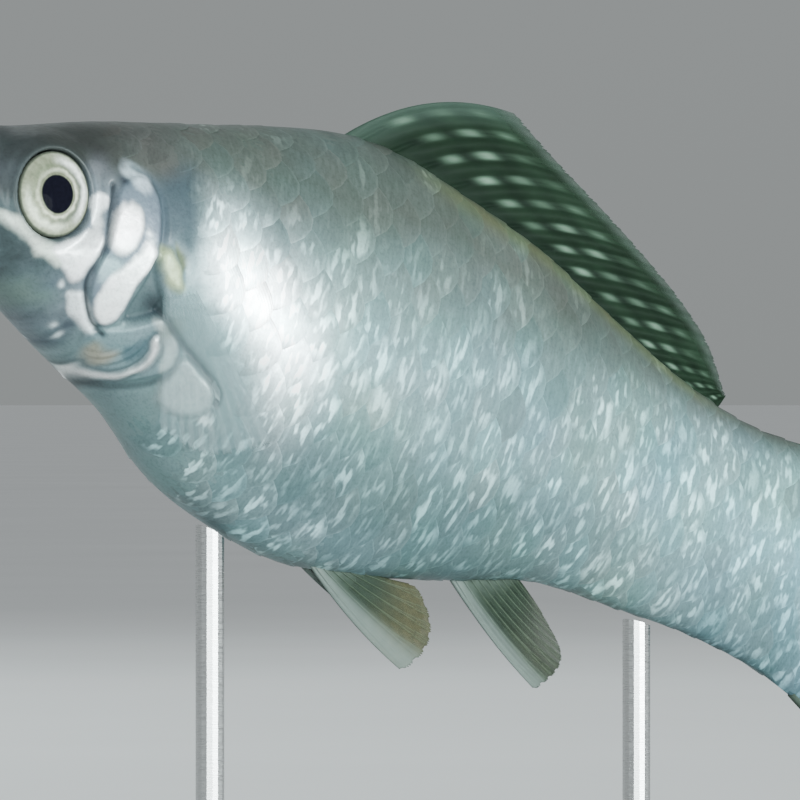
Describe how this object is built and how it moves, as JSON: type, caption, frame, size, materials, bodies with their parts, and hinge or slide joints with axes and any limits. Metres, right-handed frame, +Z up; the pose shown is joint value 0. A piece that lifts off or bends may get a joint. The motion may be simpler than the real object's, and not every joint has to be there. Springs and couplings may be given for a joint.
{
  "type": "sailfin molly fish model",
  "caption": "Life-size still model of a silver sailfin molly swimming nose-up, sail fin half folded, carried on rods over a flat display base.",
  "frame": {"origin": "centre of the underside of the model's bounding box, on the floor under the stand", "axes": "+X towards the tail, along the fish seen from above; +Y towards its right side; +Z up"},
  "size_m": [0.0924, 0.036, 0.0584],
  "materials": {
    "skin": "satin silver-grey painted resin",
    "gill_cover": "bright silver painted resin",
    "fin": "thin clear-tinted resin",
    "sail_fin": "thin dark-spotted resin",
    "eye": "polished, pale ring round a black pupil",
    "stand": "satin dark acrylic",
    "rod": "satin steel"
  },
  "bodies": {
    "root": {"head": "skin", "lower_jaw": "skin", "gill_cover_left": "gill_cover", "gill_cover_right": "gill_cover", "trunk": "skin", "tail_stalk": "skin", "dorsal_fin": "sail_fin", "caudal_fin": "fin", "anal_fin": "fin", "pelvic_fin_left": "fin", "pelvic_fin_right": "fin", "pectoral_fin_left": "fin", "pectoral_fin_right": "fin", "eye_left": "eye", "eye_right": "eye", "stand_base": "stand", "stand_rod_front": "rod", "stand_rod_rear": "rod"}
  },
  "joints": []
}
